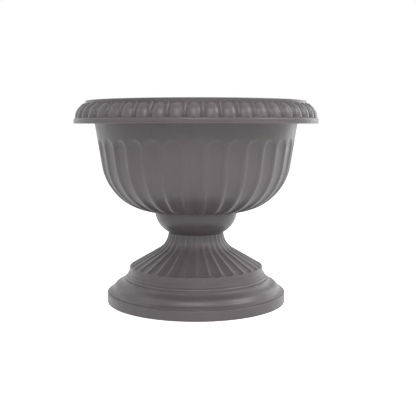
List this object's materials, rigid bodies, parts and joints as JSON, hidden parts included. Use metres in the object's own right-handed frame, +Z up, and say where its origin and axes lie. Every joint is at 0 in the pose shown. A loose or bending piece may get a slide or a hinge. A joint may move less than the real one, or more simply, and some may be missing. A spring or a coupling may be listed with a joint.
{
  "type": "urn planter",
  "caption": "Round pedestal urn planter with a fluted bowl, an egg-and-dart rolled rim and a stepped, fluted foot; the bowl lifts off the pedestal.",
  "frame": {"origin": "centre of the foot, on the ground plane", "axes": "+Z up along the axis of the urn; the front faces -Y"},
  "size_m": [0.3218, 0.3218, 0.2667],
  "materials": {
    "shell_plastic": "matte charcoal, fine moulded grain",
    "plug_rubber": "matte"
  },
  "bodies": {
    "pedestal_body": {"pedestal": "shell_plastic"},
    "bowl_body": {"bowl": "shell_plastic"},
    "plug_body": {"drain_plug": "plug_rubber"}
  },
  "joints": [
    {"name": "bowl_lift", "type": "slide", "parent": "pedestal_body", "child": "bowl_body", "axis": [0, 0, 1], "range_m": [0, 0.06]},
    {"name": "plug_pull", "type": "slide", "parent": "bowl_body", "child": "plug_body", "axis": [0, 0, 1], "range_m": [0, 0.185]}
  ]
}
